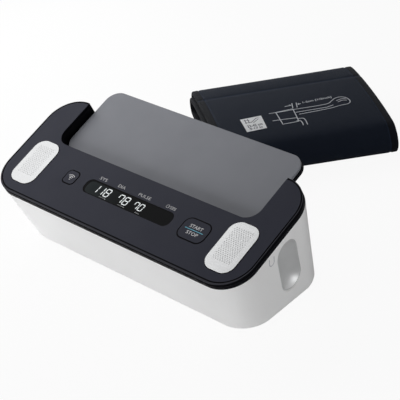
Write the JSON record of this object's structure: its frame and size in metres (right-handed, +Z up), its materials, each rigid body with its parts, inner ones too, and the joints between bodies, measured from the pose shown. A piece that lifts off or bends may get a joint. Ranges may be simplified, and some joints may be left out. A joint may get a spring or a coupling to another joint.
{
  "type": "upper-arm blood pressure monitor",
  "caption": "Bench-top blood pressure monitor with a sloping dark cover, steel heart-rhythm electrodes, a phone rest, battery door, jacks and a rolled upper-arm cuff beside it.",
  "frame": {"origin": "table level under the middle of the monitor", "axes": "+Z up, -Y towards the user who faces the display, +X to the user's right; the rolled cuff lies behind at +Y"},
  "size_m": [0.273, 0.3287, 0.0887],
  "materials": {
    "case_white": "fine matt white",
    "band_black": "satin black",
    "cover_dark": "satin dark grey",
    "plate_grey": "satin grey",
    "electrode_steel": "fine textured stainless steel",
    "window_black": "gloss black",
    "inner_plastic": "plain",
    "board_green": "plain",
    "cell_can": "plain",
    "spring_steel": "bright",
    "foot_rubber": "matt",
    "motor_can": "plain",
    "crank_brass": "plain",
    "screw_steel": "zinc plated",
    "cuff_cloth": "dark navy woven nylon",
    "ring_metal": "bright"
  },
  "bodies": {
    "monitor": {"lower_case": "case_white", "upper_frame": "band_black", "top_panel": "cover_dark", "phone_tray": "band_black", "phone_plate": "plate_grey", "electrode_top_left": "electrode_steel", "electrode_top_right": "electrode_steel", "electrode_end_left": "electrode_steel", "electrode_end_right": "electrode_steel", "display_window": "window_black", "display_module": "inner_plastic", "main_board": "board_green", "start_stop_switch": "inner_plastic", "connection_switch": "inner_plastic", "battery_bay": "inner_plastic", "cell_1": "cell_can", "cell_2": "cell_can", "cell_3": "cell_can", "cell_4": "cell_can", "contacts_left": "spring_steel", "contacts_right": "spring_steel", "pump_cradle": "foot_rubber", "pump_motor": "motor_can", "pump_head": "inner_plastic", "release_valve": "inner_plastic", "pressure_sensor": "inner_plastic", "air_hose": "foot_rubber", "air_jack": "band_black", "power_jack": "band_black", "foot_1": "foot_rubber", "foot_2": "foot_rubber", "foot_3": "foot_rubber", "foot_4": "foot_rubber", "case_screw_1": "screw_steel", "case_screw_2": "screw_steel", "case_screw_3": "screw_steel", "case_screw_4": "screw_steel"},
    "start_stop_button": {"start_stop_button": "cover_dark"},
    "connection_button": {"connection_button": "cover_dark"},
    "battery_door": {"battery_door": "case_white"},
    "motor_crank": {"motor_crank": "crank_brass"},
    "cuff": {"cuff_wrap": "cuff_cloth", "cuff_ring": "ring_metal"}
  },
  "joints": [
    {"name": "start_stop_press", "type": "slide", "parent": "monitor", "child": "start_stop_button", "axis": [0, 0.309, -0.9511], "range_m": [0, 0.0006], "stiffness_N_per_m": 800, "springref_m": -0.001},
    {"name": "connection_press", "type": "slide", "parent": "monitor", "child": "connection_button", "axis": [0, 0.309, -0.9511], "range_m": [0, 0.0006], "stiffness_N_per_m": 800, "springref_m": -0.001},
    {"name": "battery_door_lift", "type": "slide", "parent": "monitor", "child": "battery_door", "axis": [0, 0.9948, 0.1015], "range_m": [0, 0.03]},
    {"name": "crank_spin", "type": "hinge", "parent": "monitor", "child": "motor_crank", "pos_m": [0.08, -0.0145, 0.0179], "axis": [1, 0, 0], "continuous": true},
    {"name": "cuff_lift", "type": "slide", "parent": "monitor", "child": "cuff", "axis": [0, 0, 1], "range_m": [0, 0.15]}
  ]
}
